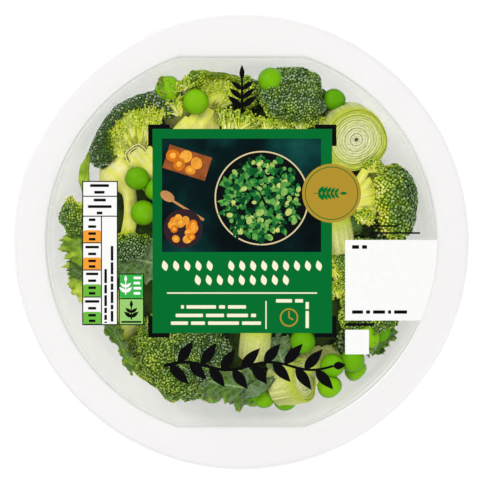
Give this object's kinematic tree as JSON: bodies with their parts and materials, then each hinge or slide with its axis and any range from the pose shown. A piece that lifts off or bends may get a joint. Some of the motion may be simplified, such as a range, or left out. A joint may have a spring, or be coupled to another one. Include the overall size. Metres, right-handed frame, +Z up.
{
  "type": "sealed round tray of mixed green vegetables",
  "caption": "Shut round ready-to-cook pack: a translucent flanged plastic tray full of raw green vegetables under a clear film with printed fields.",
  "frame": {"origin": "centre of the tray's underside, on the surface that the pack stands on", "axes": "+Z up through the film, +Y to the top edge of the printed panel, +X to its right edge; the bowl's two flats face +Y and -Y"},
  "size_m": [0.178, 0.178, 0.0468],
  "materials": {
    "tray": "translucent milky polypropylene, satin, thermoformed",
    "food": "raw green vegetables: budded broccoli crowns, smooth peas, layered leek, ruffled kale",
    "film": "clear peelable lidding film, glossy",
    "panel_ink": "opaque deep green print under a glossy film",
    "picture_ink": "opaque dark teal print",
    "badge_ink": "opaque muted gold print",
    "table_ink": "opaque white print with coloured cells",
    "claim_ink": "opaque green print in two tones",
    "date_ink": "opaque white print left plain for a date",
    "mark_ink": "opaque black print"
  },
  "bodies": {
    "root": {"tray": "tray", "vegetables": "food", "lidding_film": "film", "label_panel": "panel_ink", "label_picture": "picture_ink", "label_badge": "badge_ink", "nutrition_table": "table_ink", "claim_panel": "claim_ink", "date_panel": "date_ink", "code_panel": "date_ink", "corner_mark_1": "mark_ink", "corner_mark_2": "mark_ink", "corner_mark_3": "mark_ink", "corner_mark_4": "mark_ink"}
  },
  "joints": []
}
